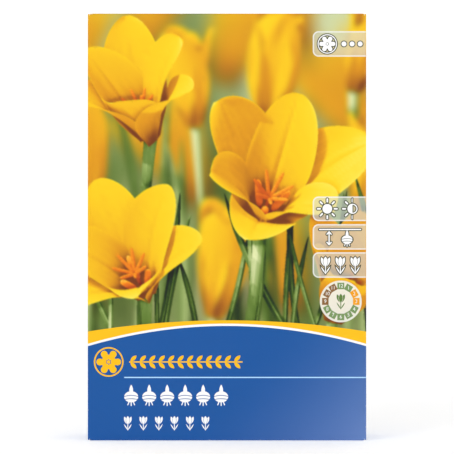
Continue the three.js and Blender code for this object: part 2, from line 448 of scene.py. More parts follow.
def petal(rng, layer, length, width, start, end, opening):
    """A petal that leaves the axis z at the angle start and ends at the angle end, and its tone."""
    t = np.linspace(0, 1, layer.steps(length))[:, None]
    s = np.linspace(-1, 1, layer.steps(2.2 * width))[None, :]
    bend = start + (end - start) * t**1.15
    step = length / len(t)
    out = 0.05 * length + np.cumsum(np.sin(bend), axis=0) * step
    rise = np.cumsum(np.cos(bend), axis=0) * step
    claw = 0.30 + 0.70 * np.sin(np.clip(t / 0.52, 0, 1) * QUARTER_TURN) ** 1.3
    tip = np.clip(1 - (np.clip(t - 0.52, 0, 1) / 0.485) ** 2.1, 0, 1) ** rng.uniform(0.56, 0.66)
    half = width * np.where(t < 0.52, claw, tip)
    curl = width * (0.75 + 0.9 * opening)
    wave = 0.09 * width * np.sin(7 * t + rng.uniform(0, 6)) * s * np.abs(s) * t
    ridge = 0.04 * width * bell(s, 0.09) * np.sin(math.pi * t)
    inward = curl * (1 - np.cos(s * half / curl)) + wave - ridge
    side = curl * np.sin(s * half / curl)
    grid = np.stack([out - inward * np.cos(bend), side, rise + inward * np.sin(bend)], axis=-1)
    fan = s * (1 + 0.2 * np.sin(math.pi * t))
    veins = np.sin(fan * 34 + rng.uniform(0, 6)) * np.sin(fan * 13 + rng.uniform(0, 6))
    tone = 0.026 * veins * np.clip(t * 3, 0, 1) * (1 - np.abs(s) ** 4)
    tone = tone - 0.34 * bell(t, 0.2) + 0.07 * (t - 0.5)
    tone = tone + 0.07 * bell(np.abs(s) - 1, 0.05) + rng.normal(0, 0.02)
    return grid, tone


def blossom(rng, layer, at, facing, roll, size, opening, heart):
    """A six-petalled blossom on its tube, from opening 0, a bud, to 1, a flat star."""
    frame = axes_along(facing, roll)
    for i in range(6):
        inner = i % 2
        length = size * (1 - 0.07 * inner) * rng.normal(1, 0.03)
        width = size * (0.268 - 0.035 * inner) * rng.normal(1, 0.04)
        start = math.radians(8 + 14 * opening - 5 * inner)
        end = math.radians(-16 + 100 * opening - 9 * inner + rng.normal(0, 6))
        grid, tone = petal(rng, layer, length, width, start, end, opening)
        grid[..., 2] += 0.02 * size * inner
        spin = axes_along((0, 0, 1), i * math.pi / 3 + rng.normal(0, 0.06))
        layer.add(grid @ spin @ frame + at, tone, PETAL)
    tube(rng, layer, np.add(at, (0, 0.5, 0)), size)
    if heart:
        stamens(rng, layer, at, frame, size)


def stamens(rng, layer, at, frame, size):
    """Three anthers round a style that ends in a ruffled stigma."""

    def rod(low_end, high_end, radius, tone):
        """A rough rod with rounded ends, in sizes of the blossom."""
        low_end, high_end = np.multiply(low_end, size), np.multiply(high_end, size)
        t = np.linspace(0, 1, layer.steps(np.linalg.norm(high_end - low_end)))[:, None, None]
        turn = np.linspace(0, 2 * math.pi, layer.steps(7 * radius * size))[None, :, None]
        a, b, _ = axes_along(high_end - low_end)
        rough = 1 + 0.16 * rng.uniform(-1, 1, (t.shape[0], turn.shape[1], 1))
        swell = radius * size * np.sqrt(np.clip(1 - (2 * t - 1) ** 4, 0, 1)) * rough
        grid = low_end + (high_end - low_end) * t + swell * (np.cos(turn) * a + np.sin(turn) * b)
        layer.add(grid @ frame + at, tone, STAMEN)

    def leaning(count, i, lean, turn):
        angle = 2 * math.pi * i / count + turn
        return np.array([lean * math.cos(angle), lean * math.sin(angle), 1.0])

    for i in range(3):
        lean = leaning(3, i, 0.34, 0.5)
        rod(lean * 0.02, lean * 0.18, 0.008, -0.1)
        rod(lean * 0.15, lean * 0.37, 0.021, 0.2)
    rod((0, 0, 0), (0, 0, 0.34), 0.008, -0.1)
    for i in range(7):
        rod((0, 0, 0.30), leaning(7, i, 0.3, 0) * 0.45, 0.011, -0.02)


def bent_line(layer, foot, tip, sag):
    """How far along, the points, and their two cross directions, on a line that sags in its middle."""
    foot, tip, sag = (np.asarray(k, float) for k in (foot, tip, sag))
    t = np.linspace(0, 1, layer.steps(1.1 * np.linalg.norm(tip - foot)))[:, None, None]
    bow = (foot + tip) / 2 + sag
    middle = foot * (1 - t) ** 2 + bow * 2 * t * (1 - t) + tip * t**2
    run = unit(np.gradient(middle[:, 0, :], axis=0))
    side = unit(np.cross(run, (0.25, -1.0, 0.1)))
    return t, middle, side[:, None, :], np.cross(side, run)[:, None, :]


def blade(layer, foot, tip, sag, width, tone):
    """A narrow keeled leaf with a pale midrib, from its foot to its tip."""
    t, middle, side, keel = bent_line(layer, foot, tip, sag)
    s = np.linspace(-1, 1, layer.steps(2.6 * width))[None, :, None]
    half = width * np.clip((1 - t) * 5, 0, 1) ** 0.7 * (0.75 + 0.25 * np.sin(math.pi * t))
    grid = middle + side * s * half + keel * (1 - np.abs(s)) * half * 0.5
    rib = 0.34 * bell(s, 0.2) * (1 - t**3)
    shade = tone + rib + 0.03 * np.sin(s * 22) - 0.10 * (1 - t)
    layer.add(grid, shade[..., 0], LEAF)


def tube(rng, layer, throat, size):
    """The long pale tube that a blossom stands on."""
    x, y, z = throat
    foot = (x + rng.normal(0, 0.1 * size), y + 2, PICTURE_FOOT - 4)
    t, middle, side, keel = bent_line(layer, foot, throat, (rng.normal(0, 0.05 * size), 0, 0))
    turn = np.linspace(0, 2 * math.pi, layer.steps(0.3 * size))[None, :, None]
    radius = size * (0.030 + 0.022 * t**3)
    grid = middle + radius * (np.cos(turn) * side + np.sin(turn) * keel)
    streaks = 0.03 * np.sin(9 * turn + 2 * t)
    layer.add(grid, (0.05 + 0.22 * t**2 + streaks)[..., 0], LEAF)


def grass(rng, layer, count, depth, reach_to, width, sway):
    """Narrow leaves along the whole foot, with the ranges of their tips' heights and half widths."""
    for _ in range(count):
        x = rng.uniform(-95, 95)
        y = depth + rng.uniform(0, 10)
        tip = (x + rng.normal(0, sway), y, rng.uniform(*reach_to))
        sag = (rng.normal(0, sway / 3), 0, 0)
        blade(layer, (x, y, PICTURE_FOOT - 3), tip, sag, rng.uniform(*width), rng.normal(0, 0.1))


# place, size, colour and strength of the soft patches behind the flowers
PATCHES = [
    (-48, 82, 30, (0.74, 0.68, 0.50), 0.8),
    (52, 162, 40, (0.84, 0.87, 0.70), 0.85),
    (-20, 182, 26, (0.42, 0.50, 0.26), 0.8),
    (40, 120, 22, (0.40, 0.48, 0.24), 0.7),
    (-75, 150, 24, (0.52, 0.58, 0.34), 0.7),
    (80, 90, 24, (0.30, 0.38, 0.16), 0.6),
    (6, 60, 20, (0.70, 0.62, 0.50), 0.7),
]


def ground_colour(rng):
    """Out-of-focus green, paler towards the top right, with warm earth at the lower left."""
    v, s = np.mgrid[0:ROWS, 0:COLUMNS] * CELL
    s, v = s + PICTURE_LEFT, v + PICTURE_FOOT
    rise = np.clip((v - 45) / 145, 0, 1.2)[..., None]
    image = (1 - rise) * (0.52, 0.56, 0.35) + rise * (0.72, 0.77, 0.57)
    for at_s, at_v, size, colour, weight in PATCHES:
        cover = weight * np.exp(-((s - at_s) ** 2 + (v - at_v) ** 2) / size**2)[..., None]
        image = image * (1 - cover) + np.array(colour) * cover
    for _ in range(HAZY_SPOTS):
        at_s, at_v, size = rng.uniform(-90, 90), rng.uniform(95, 215), rng.uniform(4, 9)
        edge = np.clip((size - np.hypot(s - at_s, v - at_v)) / 1.2, 0, 1)[..., None]
        cover = edge * rng.uniform(0.04, 0.16)
        image = image * (1 - cover) + np.array((0.80, 0.86, 0.62)) * cover
    return image.astype(np.float32)


# x, height of the throat, size and opening
FAR_FLOWERS = [
    (-72, 150, 56, 0.35), (-40, 172, 54, 0.30), (-2, 160, 60, 0.36), (34, 176, 50, 0.25),
    (66, 132, 58, 0.40), (-86, 104, 50, 0.40), (84, 172, 48, 0.30), (-80, 196, 44, 0.30),
    (-12, 106, 60, 0.45), (30, 58, 58, 0.40), (-62, 58, 56, 0.40), (86, 78, 50, 0.35),
]
# and the direction that it faces
SOFT_FLOWERS = [
    (-62, 102, 56, 0.36, (-0.15, -0.35, 1)),
    (60, 100, 54, 0.38, (0.25, -0.4, 1)),
    (18, 141, 54, 0.24, (0.10, -0.2, 1)),
    (-88, 78, 46, 0.40, (-0.2, -0.4, 1)),
    (-5, 55, 54, 0.34, (0.15, -0.35, 1)),
    (56, 156, 48, 0.42, (0.35, -0.3, 1)),
    (-14, 140, 46, 0.30, (-0.1, -0.3, 1)),
]
# and its depth, and its turn round its own axis
SHARP_FLOWERS = [
    (15, 97, 68, 0.76, (0.20, -0.92, 0.58), 0, 0.25),
    (-34, 134, 56, 0.62, (-0.28, -0.74, 0.80), 9, 0.9),
    (-36, 65, 60, 0.78, (-0.3, -0.90, 0.56), -10, 0.55),
    (47, 54, 52, 0.62, (0.30, -0.72, 0.80), -6, 0.2),
]


def painted_picture():
    """The whole picture, back to front: hazy flowers, soft ones, and the sharp ones in front."""
    rng = np.random.default_rng(PICTURE_SEED)
    picture = ground_colour(rng)
    far, middle, near = Layer(0.35), Layer(0.6), Layer()
    for x, z, size, opening in FAR_FLOWERS:
        facing = (rng.normal(0, 0.3), -0.5, 1)
        blossom(rng, far, (x, 40, z), facing, rng.uniform(0, 6), size, opening, False)
    grass(rng, far, 34, 44, (110, 190), (1.8, 3.8), 22)
    for x, z, size, opening, facing in SOFT_FLOWERS:
        blossom(rng, middle, (x, 20, z), facing, rng.uniform(0, 6), size, opening, False)
    grass(rng, middle, 22, 24, (95, 165), (1.1, 2.2), 17)
    for x, z, size, opening, facing, y, roll in SHARP_FLOWERS:
        blossom(rng, near, (x, y, z), facing, roll, size, opening, True)
    grass(rng, near, 26, 7, (70, 128), (0.9, 1.6), 13)
    for layer, blur in ((far, 3.4), (middle, 1.0), (near, 0.0)):
        image = layer.image(blur)
        picture = picture * (1 - image[..., 3:]) + image[..., :3]
    return blurred(picture, CELL)


def sampled(picture, places):
    """The picture's colour at flat places, as amounts of light."""
    cell = (places - (PICTURE_LEFT, PICTURE_FOOT)) / CELL - 0.5
    cell = np.clip(cell, 0, (COLUMNS - 1.001, ROWS - 1.001))
    i, j = cell.astype(int).T
    u, w = (cell % 1).T[..., None]
    low_row = picture[j, i] * (1 - u) + picture[j, i + 1] * u
    high_row = picture[j + 1, i] * (1 - u) + picture[j + 1, i + 1] * u
    return under_varnish(light_of(np.clip(low_row * (1 - w) + high_row * w, 0, 1)))


# ---------------------------------- where the picture needs points

CONTRASTS = [0.042, 0.075, 0.115, 0.18]  # within one cell of the net, above which it is split
NET_MARGIN = 0.35  # from a panel's edge to the first points of the net


def picture_points(picture):
    """A function that gives each panel its inner points, close together where the picture has edges."""
    net = 2 ** len(CONTRASTS)
    rows, columns = ROWS // net * net, COLUMNS // net * net
    marked = np.zeros((rows + 1, columns + 1), bool)
    marked[::net, ::net] = True
    open_cells = np.ones((rows // net, columns // net), bool)
    for limit in CONTRASTS:
        blocks = picture[:rows, :columns].reshape(rows // net, net, columns // net, net, 3)
        contrast = (blocks.max(axis=(1, 3)) - blocks.min(axis=(1, 3))).max(axis=2)
        net //= 2
        open_cells = np.kron(open_cells & (contrast > limit), np.ones((2, 2), bool))
        for corner in ((0, 0), (0, 1), (1, 0), (1, 1)):
            row, column = (np.argwhere(open_cells) + corner).T * net
            marked[row, column] = True
    net_points = np.argwhere(marked)[:, ::-1] * CELL + (PICTURE_LEFT, PICTURE_FOOT)
    net_points = net_points[net_points[:, 1] > BAND_FOOT]

    def inner(low_s, high_s, low_v, high_v):
        plain = plain_points(low_s, high_s, low_v, high_v)
        if max(abs(low_s), abs(high_s)) > -PICTURE_LEFT or high_v < PICTURE_FOOT:
            return plain
        keep = (net_points > np.add((low_s, low_v), NET_MARGIN)).all(axis=1)
        keep &= (net_points < np.subtract((high_s, high_v), NET_MARGIN)).all(axis=1)
        on_ring = np.abs(plain[:, 0] - (low_s + high_s) / 2) > (high_s - low_s) / 2 - 1.01 * RING
        plain = plain[(plain[:, 1] < BAND_FOOT) | on_ring]
        return np.concatenate([plain, net_points[keep]])

    return inner


# ---------------------------------- the folded sheet of board

RING = 0.45  # from a panel's edge to the first points inside it
NET_SPACING = 4  # between the points inside a plain panel
VENT_MARGIN = 0.3
SAME_POINT = 1e-5  # points closer than this are one


def wall(start, end, layer, flap_length, gap):
    """A wall and its flaps on the flat sheet.

    Its sides, the heights where its lower flap starts to fold and ends, and the gap under the crease
    on its left. layer counts the flaps that lie outside its own in the closed ends.
    """
    fold = layer * LAYER + FOLD_RADIUS
    return start, end, fold, fold - FOLD_LENGTH - (flap_length - FOLD_RADIUS), gap


WALLS = [
    wall(LEFT_END, -SIDE_START, 2, DUST_FLAP_LENGTH, REAR_CORNER_GAP),
    wall(-FRONT_EDGE, FRONT_EDGE, 0, 2 * HALF_DEPTH - OUTER_FLAP_SHORTFALL, CORNER_GAP),
    wall(SIDE_START, SIDE_END, 2, DUST_FLAP_LENGTH, CORNER_GAP),
    wall(BACK_START, BACK_END, 1, INNER_FLAP_LENGTH, REAR_CORNER_GAP),
]


def both_ends(line):
    """A line at the sheet's lower end, and its mirror image at the upper end."""
    return line, [(s, HEIGHT - v) for s, v in reversed(line)]


def outline():
    """The corners of the flat sheet."""
    lower = [(TAB_END, GLUE_TAB_CLIP), (TAB_START, GLUE_TAB_CLIP)]
    for start, end, fold, tip, gap in WALLS:
        first, bend, shoulder = start + CREASE_INSET, fold - FOLD_LENGTH, tip + FLAP_CHAMFER
        half = [(start, fold), (first, fold), (first, bend), (first, shoulder)]
        half.append((first + FLAP_CHAMFER, tip))
        lower += [(start - FOLD_LENGTH, gap), (start, gap)]
        lower += half + [(start + end - s, v) for s, v in reversed(half)]
    lower, upper = both_ends(lower)
    return lower + upper + lower[:1]


def crease_lines():
    """Lines along the creases, close enough for the board to bend round them."""
    lines = []
    for start, end, fold, _, gap in WALLS:
        for step in np.linspace(0, FOLD_LENGTH, FOLD_STEPS + 1):
            lines.append([(start - step, gap), (start - step, HEIGHT - gap)])
            lines += both_ends([(s, fold - step) for s in (start + CREASE_INSET, end - CREASE_INSET)])
    return lines


def vents():
    """The middle and the radius of each air hole: a column on each side, three rosettes on the back."""
    found = [((s, v), SIDE_VENT_RADIUS) for s in (-SIDE_MIDDLE, SIDE_MIDDLE) for v in SIDE_VENT_HEIGHTS]
    for centre in ROSETTE_CENTRES:
        s, v = BACK_MIDDLE - centre, ROSETTE_HEIGHT
        found.append(((s, v), ROSETTE_VENT_RADIUS))
        for i in range(6):
            angle = QUARTER_TURN + i * math.pi / 3
            step_s, step_v = ROSETTE_RING_RADIUS * math.cos(angle), ROSETTE_RING_RADIUS * math.sin(angle)
            found.append(((s + step_s, v + step_v), ROSETTE_VENT_RADIUS))
    return found


def spread(start, end, spacing):
    """Evenly spaced numbers from start to end, about the spacing apart."""
    return np.linspace(start, end, max(1, round(abs(end - start) / spacing)) + 1)


def divided(corners):
    """A line through the corners, with more points between them."""
    corners, points = np.array(corners), []
    for start, end in zip(corners, corners[1:]):
        share = spread(0, 1, CREASE_SPACING / np.linalg.norm(end - start))
        points.append(start + share[:-1, None] * (end - start))
    return np.concatenate([*points, corners[-1:]])


def plain_points(low_s, high_s, low_v, high_v):
    """A coarse net of points inside a panel, with a close ring just inside its edge."""
    s = spread(low_s + RING, high_s - RING, NET_SPACING)
    v = spread(low_v + RING, high_v - RING, NET_SPACING)
    return np.stack(np.meshgrid(s, v), axis=-1).reshape(-1, 2)


def panels():
    """The sides and ends of the glue tab, the walls and the flaps."""
    found = [(TAB_END, TAB_START, GLUE_TAB_CLIP, HEIGHT - GLUE_TAB_CLIP)]
    for start, end, fold, tip, _ in WALLS:
        sides = start + CREASE_INSET, end - CREASE_INSET
        low_v, high_v = tip + FLAP_CHAMFER, fold - FOLD_LENGTH
        found.append((start, end, fold, HEIGHT - fold))
        found.append((*sides, low_v, high_v))
        found.append((*sides, HEIGHT - high_v, HEIGHT - low_v))
    return found


def flat_face(inner):
    """Flat places and triangles of one face of the sheet. inner gives the points inside each panel."""
    points = np.concatenate([inner(*panel) for panel in panels()])
    lines = [divided(line) for line in [outline(), *crease_lines()]]
    turn = np.linspace(0, 2 * math.pi, VENT_SIDES + 1)
    for middle, radius in vents():
        points = points[np.linalg.norm(points - middle, axis=1) > radius + VENT_MARGIN]
        lines.append(middle + radius * np.stack([np.cos(turn), np.sin(turn)], axis=1))
    edges, count = [], 0
    for line in lines:
        edges += [(i, i + 1) for i in range(count, count + len(line) - 1)]
        count += len(line)
    corners = [Vector(point) for point in np.concatenate(lines + [points])]
    flat, _, triangles, *_ = delaunay_2d_cdt(corners, edges, [], 1, SAME_POINT)
    flat, triangles = np.array([tuple(point) for point in flat]), np.array(triangles)
    for middle, radius in vents():
        triangles = triangles[np.linalg.norm(flat[triangles].mean(axis=1) - middle, axis=1) > radius]
    return flat, triangles


def bend_after(length):
    """How far the board has turned at this length past the start of a crease."""
    return np.clip(length / FOLD_LENGTH, 0, 1) * QUARTER_TURN


def folded(flat):
    """Where places of the sheet's outer face lie on the carton, and the outward directions there."""
    s, v = flat[:, 0], flat[:, 1] - MID_HEIGHT
    side, end, away, rise = np.sign(s), np.sign(v), np.abs(s), np.abs(v)
    rear = np.where(s > 0, SIDE_END, -LEFT_END)
    first, second = (bend_after(away - crease) for crease in (FRONT_EDGE, rear))
    x = np.minimum(away, FRONT_EDGE) - np.maximum(away - rear - FOLD_LENGTH, 0)
    x += FOLD_RADIUS * (np.sin(first) + np.cos(second) - 1)
    y = np.clip(away, SIDE_START, rear) - SIDE_START - HALF_DEPTH
    y += FOLD_RADIUS * (1 - np.cos(first) + np.sin(second))
    outward = np.stack([np.sin(first + second) * side, -np.cos(first + second), 0 * s], axis=1)
    crease = np.full(len(s), np.inf)  # from mid-height to where a flap starts to fold
    for start, stop, fold, *_ in WALLS:
        crease[(s > start + CREASE_INSET / 2) & (s < stop - CREASE_INSET / 2)] = MID_HEIGHT - fold
    turn = bend_after(rise - crease)
    z = MID_HEIGHT + end * (np.minimum(rise, crease) + FOLD_RADIUS * np.sin(turn))
    inward = FOLD_RADIUS * (1 - np.cos(turn)) + np.maximum(rise - crease - FOLD_LENGTH, 0)
    points = np.stack([side * x, y, z], axis=1) - outward * inward[:, None]
    upward = np.stack([0 * s, 0 * s, end * np.sin(turn)], axis=1)
    return points, outward * np.cos(turn)[:, None] + upward


def sunk_in(points):
    """The wide panels sink in a little, most at their middle, as glued board does."""
    across = np.cos(np.clip(points[:, 0] / HALF_WIDTH, -1, 1) * QUARTER_TURN)
    upward = np.sin(np.clip(points[:, 2] / HEIGHT, 0, 1) * math.pi)
    nearness = np.clip((np.abs(points[:, 1]) / HALF_DEPTH - 0.85) / 0.05, 0, 1)
    moved = points.copy()
    moved[:, 1] -= np.sign(points[:, 1]) * nearness * PANEL_BOW * across * upward
    return moved


def folded_board(inner):
    """The sheet's mesh: points, polygons and their kinds, flat places and the count of outer points.

    A polygon's kind is 0 on the print, 1 inside and 2 on a cut edge.
    """
    (flat, outside), (inside_flat, inside) = flat_face(inner), flat_face(plain_points)
    count = len(flat)
    places = np.concatenate([flat, inside_flat])
    points, normals = folded(places)
    points[count:] -= BOARD * normals[count:]
    under = KDTree(len(inside_flat))
    for i, (s, v) in enumerate(inside_flat):
        under.insert((s, v, 0), count + i)
    under.balance()
    outside, inside = outside.tolist(), (inside[:, ::-1] + count).tolist()
    sides = {side: None for polygon in outside for side in zip(polygon, polygon[1:] + polygon[:1])}
    rim = [side for side in sides if side[::-1] not in sides]
    rim = [(b, a, *(under.find((*flat[i], 0))[1] for i in (a, b))) for a, b in rim]
    kinds = [0] * len(outside) + [1] * len(inside) + [2] * len(rim)
    return sunk_in(points), outside + inside + rim, kinds, places, count


# ---------------------------------- numbers and shapes made of nodes


class Number:
    """A number that varies over the surface, held by a node's output."""

    def __init__(self, socket):
        self.socket = socket

    __add__ = __radd__ = lambda self, other: maths("ADD", self, other)
    __sub__ = lambda self, other: maths("SUBTRACT", self, other)
    __mul__ = __rmul__ = lambda self, other: maths("MULTIPLY", self, other)
    __truediv__ = lambda self, other: maths("DIVIDE", self, other)
    __neg__ = lambda self: maths("MULTIPLY", self, -1)
    __rsub__ = lambda self, other: maths("SUBTRACT", other, self)
    __abs__ = lambda self: maths("ABSOLUTE", self)


def maths(operation, *values, clamp=False):
    tree = next(value.socket.id_data for value in values if isinstance(value, Number))
    node = add_node(tree, "Math", dict(enumerate(values)), operation=operation, use_clamp=clamp)
    return Number(node.outputs[0])


def least(*values):
    return reduce(lambda a, b: maths("MINIMUM", a, b), values)


def most(*values):
    return reduce(lambda a, b: maths("MAXIMUM", a, b), values)


def reach(x, y):
    """The distance of (x, y) from the origin."""
    return maths("SQRT", x * x + y * y)


def between(value, start, end):
    """0 up to start, 1 from end on, and a straight ramp in between."""
    return maths("MULTIPLY_ADD", value, 1 / (end - start), -start / (end - start), clamp=True)


def repeated(x, pitch):
    """The place inside a cell of a row of cells, from its middle."""
    return maths("WRAP", x, pitch / 2, -pitch / 2)


def ring_of(x, y, count):
    """The plane folded into one sector of count, which lies on the x axis."""
    angle = maths("WRAP", maths("ARCTAN2", y, x), math.pi / count, -math.pi / count)
    radius = reach(x, y)
    return radius * maths("COSINE", angle), radius * maths("SINE", angle)


# A shape is given by the signed distance from its edge, less than 0 inside.


def disc(x, y, radius):
    return reach(x, y) - radius


def slab(x, y, half_x, half_y, corner):
    past_x, past_y = abs(x) - (half_x - corner), abs(y) - (half_y - corner)
    outside = reach(most(past_x, 0), most(past_y, 0))
    return outside + least(most(past_x, past_y), 0) - corner


def stroke(x, y, start, end, half):
    """A line with round ends."""
    run_x, run_y = end[0] - start[0], end[1] - start[1]
    x, y = x - start[0], y - start[1]
    along = maths("MULTIPLY", x * run_x + y * run_y, 1 / (run_x**2 + run_y**2), clamp=True)
    return reach(x - along * run_x, y - along * run_y) - half


def pointed(x, y, half_x, half_y, turn=0):
    """A pointed oval."""
    c, s = math.cos(turn), math.sin(turn)
    x, y = x * c + y * s, y * c - x * s
    radius = (half_x**2 + half_y**2) / (2 * half_x)
    return reach(abs(x) + (radius - half_x), y) - radius


def attribute(tree, name, output):
    """The output of a node that reads one of the mesh's layers."""
    return add_node(tree, "Attribute", attribute_name=name).outputs[output]


def own_place(tree):
    """The socket of the place on the object."""
    return add_node(tree, "TexCoord").outputs["Object"]


def stretched(place, scale):
    """The socket of a place after a scale on each axis."""
    return add_node(place.id_data, "Mapping", {"Scale": scale, "Vector": place}).outputs[0]


def grain(place, scale, detail):
    """Noise, about 0.5 on the whole, at the place that a vector's socket gives."""
    inputs = {"Scale": scale, "Detail": detail, "Vector": place}
    return Number(add_node(place.id_data, "TexNoise", inputs).outputs["Fac"])


def mixed(first, second, share):
    """The socket of a colour between two, of which each is a colour or its socket."""
    inputs = {"Factor": share, "A": first, "B": second}
    return add_node(share.socket.id_data, "Mix", inputs, data_type="RGBA").outputs["Result"]


class Print:
    """The colour of the print, built up by one ink over another."""

    def __init__(self, socket):
        self.socket = socket

    def put(self, colour, cover):
        self.socket = mixed(self.socket, colour, cover)

    def fill(self, colour, *shapes, strength=None):
        """Ink on what the shapes have in common, with an edge as sharp as print's."""
        blur = 0.07
        cover = maths("MULTIPLY_ADD", most(*shapes), -1 / blur, 0.5, clamp=True)
        self.put(colour, cover * strength if strength else cover)


def ramp(value, stops):
    """The socket of a colour that runs through the stops."""
    node = add_node(value.socket.id_data, "ValToRGB", {"Fac": value})
    elements = node.color_ramp.elements
    while len(elements) < len(stops):
        elements.new(0.5)
    for element, (position, colour) in zip(elements, stops):
        element.position, element.color = position, colour
    return node.outputs["Color"]


def raised(shader, height, strength, distance_mm):
    """Fine relief from a number between 0 and 1."""
    inputs = {"Strength": strength, "Distance": distance_mm * MM, "Height": height}
    feed(shader, {"Normal": add_node(shader.id_data, "Bump", inputs).outputs["Normal"]})


WHITE = linear(250, 250, 250)
SUN_YELLOW = linear(251, 192, 16)
DEEP_BLUE = linear(20, 87, 158)
LAVENDER = linear(98, 128, 186)
PALE_BLUE = linear(178, 221, 255)
WATER_BLUE = linear(84, 150, 205)
LEAF_GREEN = linear(96, 128, 62)
OLIVE = linear(62, 66, 44)
EARTH = linear(138, 100, 60)
DEEP_EARTH = linear(112, 78, 46)
PEBBLE = linear(184, 150, 106)
CLOD = linear(84, 58, 34)
CORM = linear(212, 158, 96)
FLOWERING = linear(238, 160, 14)
CREAM = linear(247, 246, 232)
SKY = linear(158, 202, 232)
HAZE = linear(240, 246, 242)
TAG = linear(206, 216, 200)
DIAL = linear(238, 240, 228)
DIAL_GREEN = linear(122, 150, 96)


# ---------------------------------- small drawings of the print

# Each is about 1 from its middle to its side.


def corm_drawing(x, y):
    """A corm with its shoot and roots."""
    body = (reach(x, y / 0.8) - 1) * 0.8
    shoot = pointed(x, y - 0.9, 0.27, 0.85)
    roots = least(
        stroke(x, y, (0, -0.8), (0, -1.25), 0.075),
        stroke(abs(x), y, (0.3, -0.7), (0.48, -1.15), 0.075),
    )
    rings = least(abs(y - 0.2 + x * x * 0.16), abs(y + 0.28 + x * x * 0.12)) - 0.045
    return most(least(body, shoot, roots), -rings)


def blossom_drawing(x, y):
    """A blossom on its stem between two leaves, from the side."""
    middle = pointed(x, y - 0.75, 0.44, 1.0)
    side = pointed(abs(x) - 0.52, y - 0.7, 0.36, 0.98, -0.36)
    stem = stroke(x, y, (0, -0.2), (0, -1.7), 0.1)
    leaf = pointed(abs(x) - 0.5, y + 0.95, 0.13, 0.85, -0.55)
    return least(middle, most(side, 0.07 - middle), stem, leaf)


def rosette_drawing(x, y):
    """Six petals round a small middle, inside a thin ring."""
    u, w = ring_of(x, y, 6)
    return least(pointed(u - 0.49, w, 0.34, 0.2), disc(x, y, 0.12), abs(disc(x, y, 0.95)) - 0.05)


def sun_drawing(x, y):
    u, w = ring_of(x, y, 8)
    return least(disc(x, y, 0.55), stroke(u, w, (0.82, 0), (1.1, 0), 0.1))


def drop_drawing(x, y):
    return least(disc(x, y + 0.25, 0.6), most(pointed(x, y - 0.1, 0.6, 1.05), -y - 0.2))


def dot_drawing(x, y):
    return disc(x, y, 1)


def drawn(drawing, x, y, size):
    return drawing(x / size, y / size) * size


def row_of(drawing, x, y, size, first, pitch, count):
    """A row of the same drawing, from the place of the first one."""
    half = (count - 1) * pitch / 2
    inside = abs(x - first - half) - half - pitch / 2
    return most(drawn(drawing, repeated(x - first, pitch), y, size), inside)


def twig(x, y, start, end):
    """A straight twig from start to end, with a pair of leaves every few millimetres."""
    leaf = pointed(repeated(x - start - 2.1, 4.2) + 0.2, abs(y) - 1.55, 0.82, 1.85, -0.8)
    return most(least(abs(y) - 0.3, leaf), abs(x - (start + end) / 2) - (end - start) / 2)


# ---------------------------------- the print

# each dial's middle, from the middle of its panel and the base, and its radius
FRONT_DIAL = (50.6, 61.9, 9.3)
BACK_DIAL = (41.5, 137, 14)
DIAL_RING = 0.74  # the middle of a dial's ring of months, in its radius
TEXT_START = -45.7  # where the rule and the rows of drawings on the front start


def put_tags(sheet, s, v):
    """Pale see-through tags that run off the front's right edge, each with a drawing."""
    past = s - FRONT_EDGE - FOLD_LENGTH / 2

    def outlined(*drawing):
        shape = least(*drawing)
        sheet.fill(OLIVE, shape - 0.4)
        sheet.fill(WHITE, shape)

    for height, half in ((176.4, 5.7), (103.1, 5.5), (90.6, 5.7), (78.1, 5.7)):
        body = slab(s - 63.1, v - height, 25, half, 2.6)
        sheet.fill(TAG, body, past, strength=0.5)
        sheet.fill(WHITE, abs(body + 0.35) - 0.28, past, strength=0.6)
    outlined(drawn(sun_drawing, s - 44.6, v - 103.1, 3.9))
    x, y = s - 55.8, v - 103.1
    outlined(most(drawn(sun_drawing, x, y, 3.9), x), abs(disc(x, y, 2.0)) - 0.25)
    soil = stroke(s, v, (41.2, 93.9), (59.4, 93.9), 0.3)
    x, y = abs(s - 45.4), abs(v - 90.0)
    arrow = [stroke(x, y, (0, 2.9), foot, 0.28) for foot in ((0, 0), (0.95, 1.8))]
    outlined(soil, *arrow, drawn(corm_drawing, s - 53.4, v - 89.4, 2.4))
    outlined(row_of(blossom_drawing, s, v - 78.0, 2.2, 43.8, 6.6, 3))
    outlined(drawn(rosette_drawing, s - 44.6, v - 176.4, 4.3))
    outlined(row_of(dot_drawing, s, v - 176.4, 1.1, 52.0, 3.6, 3))


def put_dial(sheet, x, y, radius):
    """A wheel of twelve months, with the flowering and the planting months in colour."""
    u, w = ring_of(x, y, 12)
    sheet.fill(DIAL, disc(x, y, radius), strength=0.85)
    segment = most(abs(u - radius * DIAL_RING) - radius * 0.155, abs(w) - radius * 0.165)
    sheet.fill(DIAL_GREEN, segment)
    angle = maths("ARCTAN2", y, x)
    for middle, span, colour in ((15, 30, FLOWERING), (150, 45, EARTH)):
        away = abs(maths("WRAP", angle - math.radians(middle), math.pi, -math.pi))
        sheet.fill(colour, segment, (away - math.radians(span)) * radius)
    sheet.fill(LEAF_GREEN, drawn(blossom_drawing, x, y, radius * 0.21))


def put_front_dial(sheet, s, v):
    x, y, radius = FRONT_DIAL
    put_dial(sheet, s - x, v - y, radius)


def put_back_field(sheet, s, v):
    """The back's pale board, and the ornament at its top."""
    x, y = s - BACK_MIDDLE, v - 173.5
    sheet.fill(CREAM, BACK_START - FOLD_LENGTH / 2 - s)
    sheet.fill(CREAM, s - TAB_START)
    sheet.fill(DEEP_BLUE, drawn(rosette_drawing, x, y, 7))
    sheet.fill(SUN_YELLOW, twig(abs(x), y, 10.5, 56.7))


